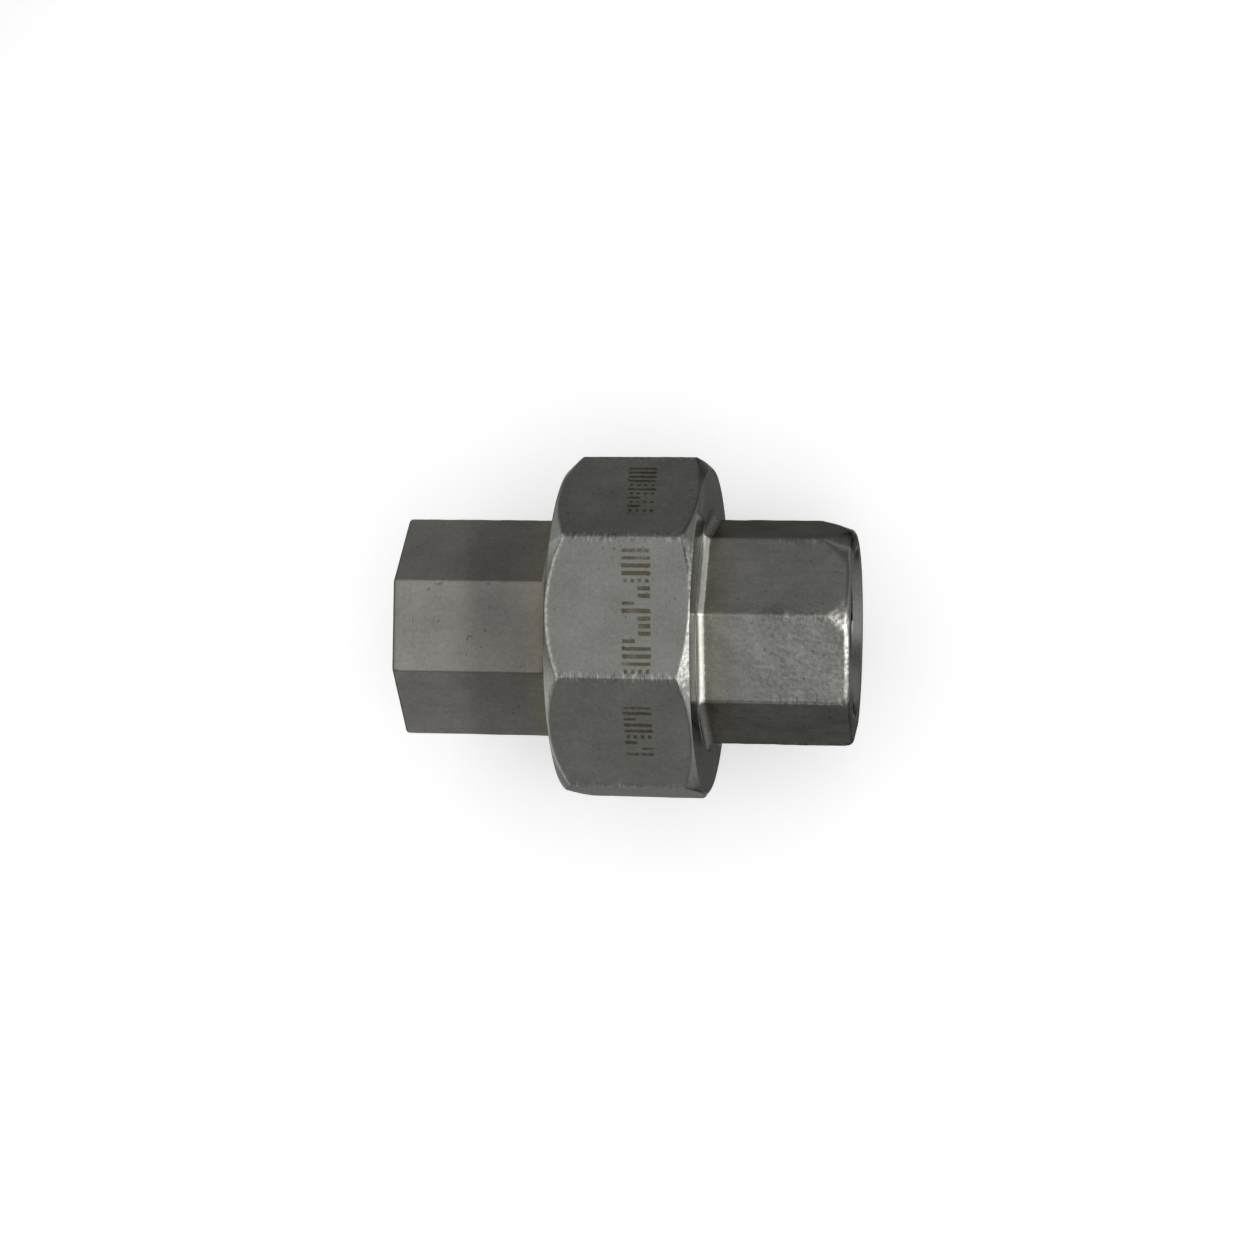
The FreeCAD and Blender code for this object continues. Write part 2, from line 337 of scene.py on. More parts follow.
def makeBody(settings):
    # Head with an end round and root fillets on its flats, relief, thread, cone seat, passage
    theta = angleGrid(settings["turn"], *settings["grid"])
    leftX, faceX = bodyLow[0], bodyHigh[0]
    shoulderX = nutLow[0] - settings["shoulderReach"]
    relief = connectingRadius - settings["reliefDepth"]
    endRound, rootRound = settings["endRound"], settings["rootRound"]
    mouth, passage = pipeThread["mouth"], pipeThread["passage"]
    quarter = np.linspace(0, math.pi / 2, meshing["roundRows"])
    headX = np.linspace(leftX + endRound, shoulderX - rootRound, settings["headRows"])[1:-1]
    x = np.concatenate([
        leftX + endRound * (1 - np.cos(quarter)),
        headX,
        shoulderX - rootRound * (1 - np.sin(quarter)),
    ])[:, None]
    apothem = settings["apothem"] + np.concatenate([
        -endRound * (1 - np.sin(quarter)),
        np.zeros(len(headX)),
        rootRound * (1 - np.cos(quarter)),
    ])[:, None]
    outline = np.minimum(castOutline(x, theta, apothem, settings), relief)
    # Thread: the least of the thread itself, the lead-in cone and the cone up from the relief
    reliefX = shoulderX + settings["reliefLength"]
    threadX = np.linspace(reliefX, faceX, meshing["threadRows"])[:, None]
    height = threadHeight(threadX, theta, connectingThread["pitch"])
    thread = connectingRadius - connectingThread["depth"] * (1 - height)
    faceRadius = connectingRadius - settings["leadIn"]
    leadCone = faceRadius + (faceX - threadX)
    runCone = relief + (threadX - reliefX)
    threadRadius = np.minimum(np.minimum(thread, leadCone), runCone)
    seatX = faceX - settings["seatLength"]
    seatEnd = settings["seatRadius"] - settings["seatLength"] * settings["coneSlope"]
    socketEnd = leftX + pipeThread["socketDepth"] + pipeThread["drillRun"]
    gap = meshing["gap"]
    inside = traced(
        (faceX, faceRadius - gap, 3),
        (faceX, settings["seatRadius"], 8),
        (seatX, seatEnd, 3),
        (seatX, passage, 8),
        (socketEnd, passage),
    )
    bands = [
        ringBand(leftX, mouth, outline[:1], 6, settings["endMachined"]),
        fullBand(x, outline, 0.0),
        ringBand(shoulderX, outline[-1:], relief, 4, 1.0),
        turnedBand(traced((shoulderX, relief, 5), (reliefX - gap, relief)), theta),
        fullBand(threadX, threadRadius, 1.0),
        turnedBand(inside, theta),
        reversedBand(socketBand(leftX, 1, theta)),
    ]

    def marks(x, radius, angle, machined):
        # The head is paler towards its free end, and painted shade darkens its end and its lower flat. Its
        # root has a stain and a paler fillet, with a painted highlight on the upper flat's fillet.
        fromRoot = shoulderX - x
        fromTop = angleFromTop(angle, settings["turn"])
        flat = np.round(fromTop / eighthTurn)
        onSkin = radius > settings["skinRadius"]
        paleEdge = leftX + settings["paleLength"]
        softness, waves = settings["paleWaver"]
        beyondPale = 0.5 + 0.5 * np.tanh((x - paleEdge) / softness + waves * np.sin(3 * angle))
        *paleTones, run = settings["paleTone"]
        allRound, onTop, width = settings["darkening"]
        tone = between(paleTones, fadeIn(-x, -paleEdge, run))
        tone = tone - (allRound + onTop * hump(fromTop, 0, width)) * beyondPale
        # Painted shade: the end face and the round are darker
        leftEndShade, reach = settings["leftEndShade"]
        tone = tone * np.where((x < leftX + reach) & onSkin, leftEndShade, 1.0)
        # Painted shade on the lower flat
        tone = tone * np.where(flat == -1, settings["lowerFlatShade"], 1.0)
        inFillet = (fromRoot < rootRound) & onSkin
        # Painted highlight: the upper flat's root fillet is brighter
        upperRoot = inFillet & (fromRoot > -onPlane) & (flat == 1)
        ribbon = (fromRoot > onPlane) * inFillet * (1 - fromRoot / rootRound)
        return {
            "edge": cornerDistance(radius, angle, settings),
            "polishAndHighlight": settings["rootPolishAndHighlight"] * ribbon,
            "stain": stainAt(fromRoot, settings) * onSkin,
            "tone": tone * np.where(upperRoot, settings["upperRootHighlight"], 1.0),
            "speckle": settings["speckle"],
            "nicks": settings["nicks"],
        }

    return closedShell("body_dressed", bands, theta, marks)


nutSettings = {
    "turn": 0.0,
    "grid": (math.radians(2.8), 14, 20),
    "rows": (36, 78),  # over each chamfer and between the chamfers
    "apothem": nutApothem,
    "edgeRound": 0.4,
    "leftInset": 0.2,
    "leftAngle": 46.0,  # degrees between the chamfer and the end face
    "leftCentre": (-0.08, -0.09),  # the left chamfer was turned a little off the axis, in y and z
    "rightInset": 0.2,
    "rightAngle": 35.0,
    "rimRound": 0.15,
    "chamferReach": 1.9,  # the rows lie closer together up to here from each end
    "lipLength": 3.0,
    "lipBreak": 0.15,
    "grooveLength": 1.7,
    "grooveDepth": 0.35,
    "mouthWidening": 0.35,
    "holeBreak": 0.06,
    "leftWear": 0.28,  # rounding between the left cone and the flats
    "rightWear": 0.07,
    "seed": 11,
    # Steel
    "tint": (0.196, 0.200, 0.184),
    "lineStrength": 0.08,
    "sheen": 0.24,
    "sheenVaries": True,
    "speckle": 0.12,
    "nicks": 1.0,
    "skinRadius": 15.0,
    "faceTone": 0.9,
    "faceEdge": 0.02,  # how far up its rim round the end face's tone goes, in mm
    "sideShade": (0.72, 0.4),  # painted shade on the flats towards +Y: their tone, from this angle on
    "rightCone": (0.6, -0.05, 0.5),  # painted highlight on the right cone towards the light: its polish, its middle and reach in radians
    # Painted highlight on the left cone: what its tone gains, how far below its edge in mm, and the
    # start and run of that gain in radians from the top
    "leftCone": (0.8, 0.1, 0.07, 0.35),
    "coneEdge": (0.18, 0.8),  # reach of what shows along the cones' edges, and how deep, in mm
    "rimHalf": 0.42,  # the left edge is painted bright, as a painted highlight, up to this angle from the top
    "edgeDarkening": (0.45, 0.35, -0.25),  # darker along the right edge, painted shade along the left rim, and the latter's start
    # Painted reflection: the end face's sheen is raised beside the tail's head, and lowered above and below
    # it
    "besideTail": (10.4, 11.0, 2.0),  # how far, towards +Y and -Y, and over what fade, in mm
    "farSheen": (0.03, 0.15),  # beyond that, towards +Y and -Y
    "nearSheen": (0.85, 0.65, 0.7),  # beside the tail: at the top, change per radian, least
    # Rows of etched marks by flat, counted from the top one towards +Y: the row's number, its
    # middle along the axis, its drift per millimetre across the flat, and its two ends there
    "markRows": {
        1: (1, 2.14, -0.095, -3.4, 5.2),
        0: (2, 2.72, -0.042, -6.8, 5.9),
        -1: (3, 2.66, 0.021, -2.9, 3.1),
    },
}


def chamferEnd(inset, angle, rim):
    # One chamfered end: radius of its face, run per radius of the cone, radius of the centre of
    # the small round between face and cone, and where that round ends along the axis
    radius = nutApothem - inset
    slope = math.tan(math.radians(angle))
    lift = 1 - math.cos(math.radians(angle))
    centre = radius - rim * (math.sin(math.radians(angle)) - lift / slope)
    return radius, slope, centre, rim * lift


def makeNut(settings):
    # Cast octagon cut by a cone at each end, plain end faces, threaded bore, groove and lip
    theta = angleGrid(settings["turn"], *settings["grid"])
    leftX, rightX = nutLow[0], nutHigh[0]
    rim, reach = settings["rimRound"], settings["chamferReach"]
    chamferRows, middleRows = settings["rows"]
    leftAngle, rightAngle = settings["leftAngle"], settings["rightAngle"]
    leftRadius, leftSlope, leftEdge, leftRun = chamferEnd(settings["leftInset"], leftAngle, rim)
    rightRadius, rightSlope, rightEdge, rightRun = chamferEnd(settings["rightInset"], rightAngle, rim)
    x = np.concatenate([
        leftX + np.linspace(leftRun, reach, chamferRows),
        np.linspace(leftX + reach, rightX - reach, middleRows)[1:-1],
        rightX - np.linspace(reach, rightRun, chamferRows),
    ])[:, None]

    def offCentre(theta):
        # How much further out the left chamfer lies, because its centre is off the axis
        offY, offZ = settings["leftCentre"]
        return offY * np.sin(theta) + offZ * np.cos(theta)

    def leftCone(x, theta):
        # Radius of the left chamfer, which grows by the run over its slope
        return leftRadius + (x - leftX) / leftSlope + offCentre(theta)

    def rightCone(x):
        # Radius of the right chamfer, in the same way from the other end
        return rightRadius + (rightX - x) / rightSlope

    outline = castOutline(x, theta, settings["apothem"], settings)
    cone = np.minimum(leftCone(x, theta), rightCone(x))
    wear = np.where(x < 0, settings["leftWear"], settings["rightWear"])
    outer, machined = turnedCut(x, theta, outline, cone, wear, settings)
    bore = connectingRadius + connectingThread["clearance"]
    mouth = bore + settings["mouthWidening"]
    groove = bore + settings["grooveDepth"]
    hole, holeBreak, lipBreak = lipHoleRadius, settings["holeBreak"], settings["lipBreak"]
    lipX = rightX - settings["lipLength"]
    grooveX = lipX - settings["grooveLength"]
    lipProfile = np.concatenate([
        arc((rightX - rim, rightEdge), rim, rightAngle, 0, 6)[1:],
        traced((rightX, rightEdge, 10), (rightX, hole + holeBreak)),
        arc((rightX - holeBreak, hole + holeBreak), holeBreak, 0, -90, 5),
        traced(
            (rightX - holeBreak, hole, 6),
            (lipX + lipBreak, hole, 1),
            (lipX, hole + lipBreak, 4),
            (lipX, groove, 4),
            (grooveX + meshing["gap"], groove),
        ),
    ])
    # Thread: the greatest of the thread itself, the mouth's cone and the groove's cone
    threadX = np.linspace(grooveX, leftX, meshing["threadRows"])[:, None]
    height = threadHeight(threadX, theta, connectingThread["pitch"])
    thread = bore - connectingThread["depth"] * (1 - height)
    ends = np.maximum(mouth - (threadX - leftX), groove - (grooveX - threadX))
    leftFace = np.concatenate([
        traced((leftX, mouth, 6), (leftX, leftEdge))[1:],
        arc((leftX + rim, leftEdge), rim, 180, 180 - leftAngle, 6),
    ])
    faceX, faceRadius, faceMachined = turnedBand(leftFace, theta)
    faceRadius = faceRadius + fadeIn(faceRadius, mouth, leftEdge - mouth) * offCentre(theta)
    bands = [
        fullBand(x, outer, machined),
        turnedBand(lipProfile, theta),
        fullBand(threadX, np.maximum(thread, ends), 1.0),
        (faceX, faceRadius, faceMachined),
    ]

    def marks(x, radius, angle, machined):
        # Place along and across each marked flat for the etched marks, painted highlights on the cones and
        # the upward left edge, painted shade on +Y flats and the left rim, darker right edges, and a
        # painted reflection raising the end face's sheen beside the tail
        fromTop = angleFromTop(angle)
        flat = np.round(angleFromTop(angle, settings["turn"]) / eighthTurn)
        onSkin = radius > settings["skinRadius"]
        across = radius * np.sin(angleFromFlat(angle, settings["turn"]))
        marked = np.zeros_like(radius)
        along = np.zeros_like(radius)
        for markedFlat, (number, middle, drift, low, high) in settings["markRows"].items():
            inRow = (flat == markedFlat) & (across > low) & (across < high) & onSkin
            marked = np.where(inRow, number, marked)
            along = np.where(flat == markedFlat, x - middle - drift * across, along)
        onRight = x > 0
        # Painted highlight along the left edge of the flats that face up
        facesUp = np.abs(fromTop) < settings["rimHalf"]
        atLeftRim = (x < leftX + rim) & (radius > leftEdge - rim)
        onFace = (x > rightX - rim) & (radius > hole) & (radius < rightRadius + settings["faceEdge"])
        octagon = octagonRadius(angle, settings["turn"], settings["apothem"], settings["edgeRound"])
        edgeReach, edgeDepth = settings["coneEdge"]
        aboveCone = octagon - np.minimum(leftCone(x, angle), rightCone(x))
        atCone = hump(aboveCone, 0, edgeReach) * (radius > nutApothem - edgeDepth)
        # Painted shade on the flats towards +Y
        sideShade, sideStart = settings["sideShade"]
        tone = np.where((fromTop > sideStart) & onSkin, sideShade, 1.0)
        tone = np.where(onFace, settings["faceTone"], tone)
        # Painted highlight on the left cone, away from the top
        gain, below, start, run = settings["leftCone"]
        onLeftCone = machined * (radius > leftEdge - below) * (~onRight)
        tone = tone * (1 + gain * onLeftCone * fadeIn(np.abs(fromTop), start, run))
        # Darker along the right cone's edge, and painted shade along the left rim
        rightDarkening, rimShade, rimStart = settings["edgeDarkening"]
        edgeDarkening = rightDarkening * atCone * (~facesUp) * onRight + rimShade * atLeftRim * (fromTop > rimStart)
        # Painted reflection: more sheen beside the tail
        plusReach, minusReach, fade = settings["besideTail"]
        tailReach = np.where(fromTop > 0, plusReach, minusReach)
        beside = fadeIn(-np.abs(radius * np.sin(angle)), -tailReach, fade)
        farSheen = np.where(fromTop > 0, *settings["farSheen"])
        topSheen, change, least = settings["nearSheen"]
        nearSheen = np.clip(topSheen + change * fromTop, least, 1)
        # Painted highlight on the right cone, towards the light
        polishAndHighlight, litAngle, litReach = settings["rightCone"]
        onRightCone = machined * (radius > rightEdge) * onRight * (~onFace)
        return {
            "edge": cornerDistance(radius, angle, settings),
            "across": across,
            "along": along,
            "marked": marked,
            "polishAndHighlight": polishAndHighlight * onRightCone * hump(fromTop, litAngle, litReach, 4),
            "rim": atCone * facesUp * (~onRight),
            "tone": tone * (1 - edgeDarkening),
            "sheen": np.where(onFace, between((farSheen, nearSheen), beside), settings["sheen"]),
            "speckle": settings["speckle"],
            "nicks": settings["nicks"],
        }

    return closedShell("nut_dressed", bands, theta, marks)


tailSettings = {
    "turn": math.radians(23.1),
    "grid": (math.radians(3.2), 14, 18),
    "rows": (56, 16, 18),  # along the head, in its last stretch and over the rim
    "apothem": 10.75,
    "edgeRound": 0.35,
    "rootRound": 0.75,
    "endRound": 0.5,
    "shoulderReach": 0.04,  # from the nut to the tail's shoulder
    "endCentre": (-0.5, 0.18),  # the end was turned a little off the axis, in y and z
    "endReach": 3.0,  # the rows lie closer together from here to the end
    "rimRadius": 11.0,
    "rimRun": 0.6,
    "rimDrop": 0.85,
    "rimWear": 0.45,  # how much more the rim drops on the side towards +Y
    "taperSlope": math.tan(math.radians(19)),
    "turnedRound": 0.08,  # rounding between the turned end and the flats
    "neckClearance": 0.04,
    "neckRound": 0.04,
    "collarLength": 2.5,
    "noseLength": 4.2,
    "noseStep": 1.3,
    "coneSlope": math.tan(math.radians(30)),
    "edgeBreak": 0.3,
    "seed": 21,
    # Steel. Where two values stand for two sides, the first is towards +Y.
    "tint": (0.186, 0.184, 0.172),
    "stainTint": (0.99, 0.94, 0.80),
    "lineStrength": 0.24,
    "sheen": 0.24,
    "sheenVaries": True,
    "skinRadius": 8.9,
    "stain": (1.6, 2.0, 1.1),  # middle and reach in mm from the root, strength
    "stainStart": 0.3,
    "sideStart": (0.78, 0.03),  # the flats at the sides: from this angle on, and the fade
    "sideShade": (0.35, 0.55),  # painted shade: how much darker they are
    "sideRootShare": 0.25,  # and how much of that their root fillets keep
    "rootHighlight": (0.45, -0.02),  # painted highlight that the root fillets of the other flats gain, towards +Y and -Y
    "rootPolishAndHighlight": (0.85, 0.25),  # painted highlight on the root fillets: polish on the other flats and at the sides
    "rootSoftness": (0.1, 0.6),  # of their edge in mm, there and at the sides
    "rootSheen": (1.0, 0.4),  # painted shade: how much of their sheen they keep, there and at the sides
    "shoulderSheen": (0.7, 0.12),  # painted reflection on the neck's shoulder, there and beside the sides
    "lightReach": (0.5, 6),  # how far the lit flat shines in radians, and how abruptly it stops
    # Painted highlight on the turned end towards the light: its polish, and its share at the top, change
    # per radian and least share
    "endHighlight": (0.68, 1.32, 1.45, 0.25),
    "polishEnd": 0.02,  # the polish stops this far from the end face, in mm
    "endShade": (0.15, 0.15, 0.3),  # painted shade on the turned end towards +Y, its start and run
    "endSheen": (0.07, 0.09, -0.35, 0.5),  # painted reflection on the end face: least, gain, middle and reach
    "endSheenFade": (0.25, 0.2),  # where it begins before the end, and its run, in mm
    "mouthShade": (0.65, 1.3),  # painted shade in the countersunk mouth, this many mm deep
    # A dull dent on a long edge: mm from the end, radians from the edge, reach in mm and in
    # radians, and depth
    "dent": (7.3, 0.03, 1.2, 0.07, 0.28),
    # Painted glints on the lit flat, as stronger grit: least and most, mm from the root to where it
    # begins, its run, and its reach in radians
    "speckle": (0.1, 0.7, 3.0, 5.0, 0.42),
    "nicks": (0.1, 0.8, 8.9, 3.0),  # least and most, mm from the end to their start, and run
}


def makeTail(settings):
    # Cone nose, collar, neck, shoulder, head with root fillets and a turned end, socket
    theta = angleGrid(settings["turn"], *settings["grid"])
    noseX, rightX = tailLow[0], tailHigh[0]
    shoulderX = nutHigh[0] + settings["shoulderReach"]
    neck, neckRound = lipHoleRadius - settings["neckClearance"], settings["neckRound"]
    rootRound, endRound = settings["rootRound"], settings["endRound"]
    rimRun, edge = settings["rimRun"], settings["edgeBreak"]
    mouth, passage = pipeThread["mouth"], pipeThread["passage"]
    endStart = rightX - settings["endReach"]
    headRows, endRows, rimRows = settings["rows"]
    quarter = np.linspace(0, math.pi / 2, meshing["roundRows"])
    rimQuarter = np.linspace(0, math.pi / 2, rimRows)
    x = np.concatenate([
        shoulderX + rootRound * (1 - np.cos(quarter)),
        np.linspace(shoulderX + rootRound, endStart, headRows)[1:-1],
        np.linspace(endStart, rightX - rimRun, endRows)[:-1],
        rightX - rimRun * (1 - np.sin(rimQuarter)),
    ])[:, None]
    fromRoot = np.clip(1 - (x - shoulderX) / rootRound, 0, 1)
    toEnd = fadeIn(x, rightX - endRound, endRound)
    rise = rootRound * (1 - np.sqrt(1 - fromRoot ** 2))
    sink = endRound * (1 - np.sqrt(1 - toEnd ** 2))
    outline = np.minimum(castOutline(x, theta, settings["apothem"] + rise - sink, settings), neck)
    # Turned end: a cone and an elliptic rim about a centre a little off the axis
    toRim = fadeIn(x, rightX - rimRun, rimRun)
    rimDrop = settings["rimDrop"] + settings["rimWear"] * np.clip(np.sin(theta), 0, 1) ** 4
    rim = settings["rimRadius"] - rimDrop * (1 - np.sqrt(1 - toRim ** 2))
    offY, offZ = settings["endCentre"]
    turnedEnd = rim + np.maximum(rightX - rimRun - x, 0) * settings["taperSlope"]
    turnedEnd = turnedEnd + offY * np.sin(theta) + offZ * np.cos(theta)
    outer, machined = turnedCut(x, theta, outline, turnedEnd, settings["turnedRound"], settings)
    machined = np.maximum(machined, toEnd > 0.05)
    collarFront = noseX + settings["noseLength"]
    collarBack = collarFront + settings["collarLength"]
    rootRadius = collarRadius - settings["noseStep"]
    tipRadius = rootRadius - settings["noseLength"] * settings["coneSlope"]
    roundX = shoulderX - neckRound
    nose = traced(
        (noseX, passage, 3),
        (noseX, tipRadius, 10),
        (collarFront, rootRadius, 3),
        (collarFront, collarRadius - edge, 2),
        (collarFront + edge, collarRadius, 4),
        (collarBack - edge, collarRadius, 2),
        (collarBack, collarRadius - edge, 2),
        (collarBack, neck, 8),
        (roundX, neck),
    )
    neckEdge = arc((roundX, neck - neckRound), neckRound, 90, 0, 3)
    socketEnd = rightX - pipeThread["socketDepth"] - pipeThread["drillRun"]
    bands = [
        turnedBand(np.concatenate([nose, neckEdge]), theta),
        ringBand(shoulderX, neck - neckRound, outline[:1], 4, 1.0, first=0),
        fullBand(x, outer, machined),
        ringBand(rightX, outer[-1:], mouth, 8, 1.0),
        socketBand(rightX, -1, theta),
        turnedBand(traced((socketEnd, passage, 10), (noseX, passage)), theta),
    ]

    def marks(x, radius, angle, machined):
        # Painted highlights make the root fillet and the turned end bright towards the light, painted
        # glints speckle the lit flat, painted shade darkens the flats at the sides and the mouth, and the
        # end face is dull
        beyondRoot = x - shoulderX
        fromTop = angleFromTop(angle)
        towardsPlus = fromTop > 0
        litAngle = settings["turn"] - eighthTurn
        towardsLight = hump(fromTop, litAngle, *settings["lightReach"])
        outside = radius > settings["skinRadius"]
        onSkin = outside & (beyondRoot > -onPlane)
        onSide = fadeIn(np.abs(fromTop), *settings["sideStart"])
        softness = between(settings["rootSoftness"], onSide)
        atRoot = np.clip((rootRound - beyondRoot) / softness, 0, 1) * onSkin
        # Painted highlight on the turned end, towards the light
        most, atTop, change, least = settings["endHighlight"]
        endHighlight = most * machined * towardsLight * np.clip(atTop + change * fromTop, least, 1)
        # Painted highlight on the root fillets, less at the sides
        polishAndHighlight = between((endHighlight, between(settings["rootPolishAndHighlight"], onSide)), atRoot)
        polishAndHighlight = polishAndHighlight * onSkin * (x < rightX - settings["polishEnd"])
        rootShare = between((1, settings["sideRootShare"]), atRoot)
        # Painted shade on the flats at the sides
        tone = 1 - np.where(towardsPlus, *settings["sideShade"]) * onSide * onSkin * rootShare
        # Painted highlight on the root fillets of the other flats
        tone = tone + atRoot * np.where(towardsPlus, *settings["rootHighlight"]) * (1 - onSide)
        # Painted shade on the turned end towards +Y
        shade, start, run = settings["endShade"]
        onTurned = machined * onSkin * (beyondRoot > rootRound)
        tone = tone - shade * onTurned * fadeIn(fromTop, start, run)
        # Painted shade in the countersunk mouth
        mouthShade, mouthDepth = settings["mouthShade"]
        inMouth = (x > rightX - mouthDepth) & (radius < mouth + onPlane)
        tone = tone * np.where(inMouth, mouthShade, 1.0)
        place, turn, length, width, depth = settings["dent"]
        dentAngle = settings["turn"] - halfEighth + turn
        tone = tone - depth * hump(x, rightX - place, length) * hump(fromTop, dentAngle, width)
        # Painted reflection: the neck's shoulder gets a sheen like the nut's face beside it, and the end
        # face is dull
        least, gain, middle, reach = settings["endSheen"]
        endSheen = least + gain * hump(fromTop, middle, reach)
        fade, run = settings["endSheenFade"]
        onEnd = fadeIn(x, rightX - fade, run) * (radius > mouth - onPlane)
        onRoot = outside & (np.abs(beyondRoot) < rootRound)
        sheen = between((settings["sheen"], endSheen), onEnd)
        sheen = sheen * np.where(onRoot, between(settings["rootSheen"], onSide), 1.0)
        onShoulder = onSkin & (np.abs(beyondRoot) < onPlane)
        # Painted glints: stronger grit on the lit flat
        *speckles, speckleStart, speckleRun, width = settings["speckle"]
        grainy = fadeIn(beyondRoot, speckleStart, speckleRun) * hump(fromTop, litAngle, width, 4)
        *nicks, nickStart, nickRun = settings["nicks"]
        # The rim field is a painted highlight where the turned end meets the flats, towards the light
        return {
            "edge": cornerDistance(radius, angle, settings),
            "polishAndHighlight": polishAndHighlight,
            "sheen": np.where(onShoulder, between(settings["shoulderSheen"], onSide), sheen),
            "rim": 4 * machined * (1 - machined) * towardsLight,
            "stain": stainAt(beyondRoot, settings) * onSkin * (beyondRoot > settings["stainStart"]),
            "tone": tone,
            "speckle": between(speckles, grainy),
            "nicks": between(nicks, fadeIn(x, rightX - nickStart, nickRun)),
        }

    return closedShell("tail_dressed", bands, theta, marks)


def addNode(tree, kind, inputs, **fields):
    # A node with its fields set and its inputs set or linked
    node = tree.nodes.new(kind)
    for key, value in fields.items():
        setattr(node, key, value)
    for key, value in inputs.items():
        if isinstance(value, bpy.types.NodeSocket):
            tree.links.new(value, node.inputs[key])
        else:
            node.inputs[key].default_value = value
    return node


def calculate(tree, operation, *values, clamp=False):
    # One step of arithmetic on numbers or sockets
    inputs = {index: value for index, value in enumerate(values)}
    return addNode(tree, "ShaderNodeMath", inputs, operation=operation, use_clamp=clamp).outputs[0]


def plus(tree, first, *others):
    # The first value and all the others added up
    for other in others:
        first = calculate(tree, "ADD", first, other)
    return first


def minus(tree, first, second):
    # first - second
    return calculate(tree, "SUBTRACT", first, second)


def times(tree, first, *others):
    # The product of all the values
    for other in others:
        first = calculate(tree, "MULTIPLY", first, other)
    return first


def spread(tree, value, gain):
    # gain * (value - 0.5)
    return times(tree, minus(tree, value, 0.5), gain)


def fromCellMiddle(tree, value):
    # 0 in the middle of each cell of length 1, and 0.5 at its ends
    return calculate(tree, "ABSOLUTE", minus(tree, calculate(tree, "FRACT", value), 0.5))


def ramp(tree, value, fromLow, fromHigh, toLow=0.0, toHigh=1.0):
    # Smooth step from toLow to toHigh while value goes from fromLow to fromHigh
    inputs = {"Value": value, "From Min": fromLow, "From Max": fromHigh, "To Min": toLow, "To Max": toHigh}
    return addNode(tree, "ShaderNodeMapRange", inputs, interpolation_type="SMOOTHSTEP").outputs[0]


def field(tree, name):
    # The value of one of the piece's fields
    return addNode(tree, "ShaderNodeAttribute", {}, attribute_name=name).outputs["Fac"]


def vectorMath(tree, operation, *values):
    # One step of arithmetic on vectors, as its node
    inputs = {index: value for index, value in enumerate(values)}
    return addNode(tree, "ShaderNodeVectorMath", inputs, operation=operation)


def noise(tree, place, size, detail=2.0, roughness=0.5):
    # Noise whose blotches are about size millimetres across
    inputs = {"Vector": place, "Scale": 1 / (size * millimetre), "Detail": detail, "Roughness": roughness}
    return addNode(tree, "ShaderNodeTexNoise", inputs).outputs["Fac"]


def mixColour(tree, share, first, second, blend="MIX"):
    # The first colour where share is 0, and the second, or both blended, where it is 1
    node = addNode(tree, "ShaderNodeMix", {}, data_type="RGBA", blend_type=blend)
    for index, value in ((0, share), (6, first), (7, second)):
        if isinstance(value, bpy.types.NodeSocket):
            tree.links.new(value, node.inputs[index])
        else:
            node.inputs[index].default_value = value
    return node.outputs[2]


def tinted(tree, share, colour, tint):
    # The colour, multiplied by the tint where share is 1
    return mixColour(tree, share, colour, mixColour(tree, 1.0, colour, (*tint, 1), "MULTIPLY"))


def greyOf(tree, value):
    # The grey whose three parts are the value
    return addNode(tree, "ShaderNodeCombineColor", {0: value, 1: value, 2: value}).outputs[0]


etching = {
    "tint": (0.48, 0.41, 0.31),
    "pitch": 0.74,  # millimetres from one mark to the next
    "rowShift": 17.0,  # keeps the random numbers of the rows apart
    "ragged": (0.22, 0.25),  # across and along the flat, in millimetres
    "halfWidth": (0.2, 0.12, 7.3),  # of a bar in pitches: least, what is random, its shuffling
    "halfLength": 1.42,  # of a full bar, in millimetres
    "halfLess": 0.8,  # a halved bar is shorter by this
    "halfShift": 0.78,  # and set this far to one side
    "halved": (0.38, 0.52, 0.66),  # chances where halved bars begin, change side and end
    "dotted": 0.78,  # the chance above which a bar is a line of dots
    "dotPitch": 0.71,
    "dotEdge": (0.22, 0.28),
    "softness": 0.03,
}


